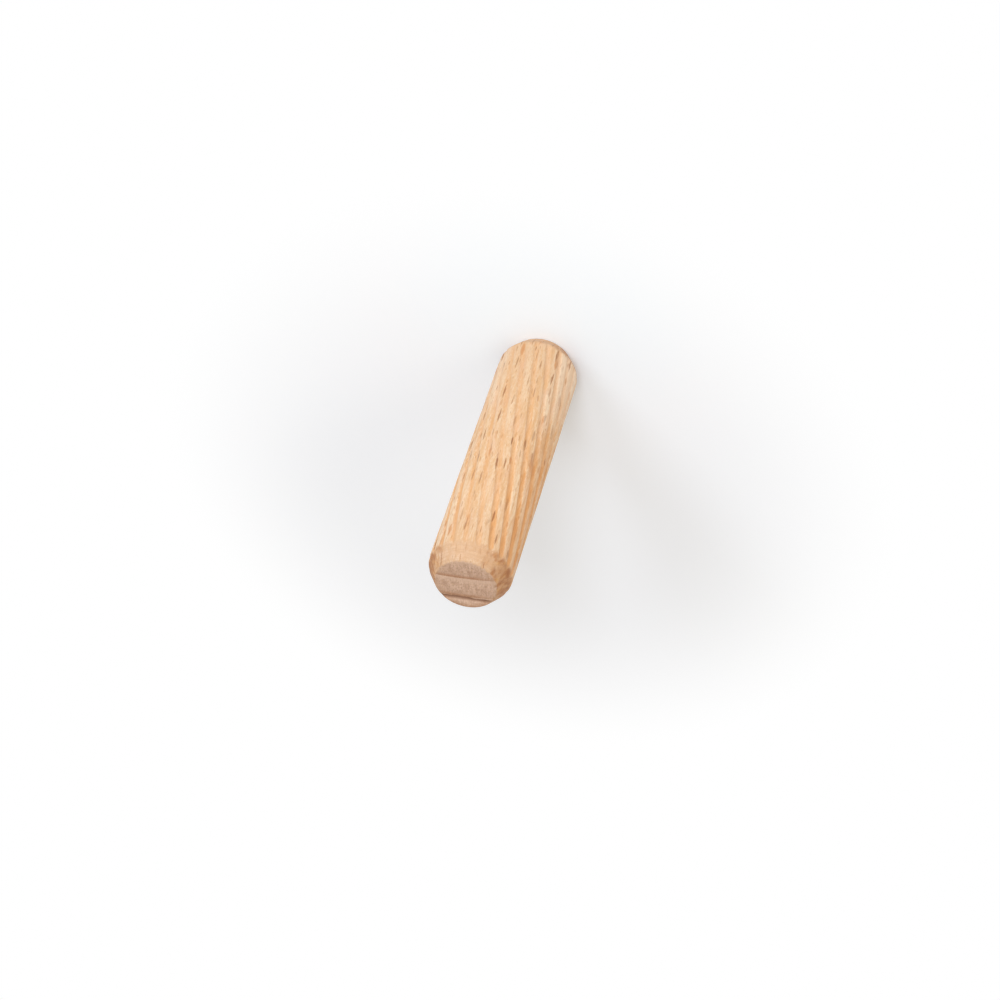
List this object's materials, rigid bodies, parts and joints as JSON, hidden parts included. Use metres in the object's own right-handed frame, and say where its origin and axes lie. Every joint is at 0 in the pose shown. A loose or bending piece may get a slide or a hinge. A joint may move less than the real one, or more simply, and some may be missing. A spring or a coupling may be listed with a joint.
{
  "type": "fluted wooden dowel pin",
  "caption": "Beech dowel pin for glued joints: a straight round pin with chamfered ends and fine helical flutes that let air and glue past.",
  "frame": {"origin": "centre of the lower end face, which the pin stands on", "axes": "+Z along the pin, towards the end with the torn edge; -Y towards the side that a flute crosses at mid-length"},
  "size_m": [0.01, 0.01, 0.04],
  "materials": {
    "beech": "matte"
  },
  "bodies": {
    "root": {"dowel_pin": "beech"}
  },
  "joints": []
}
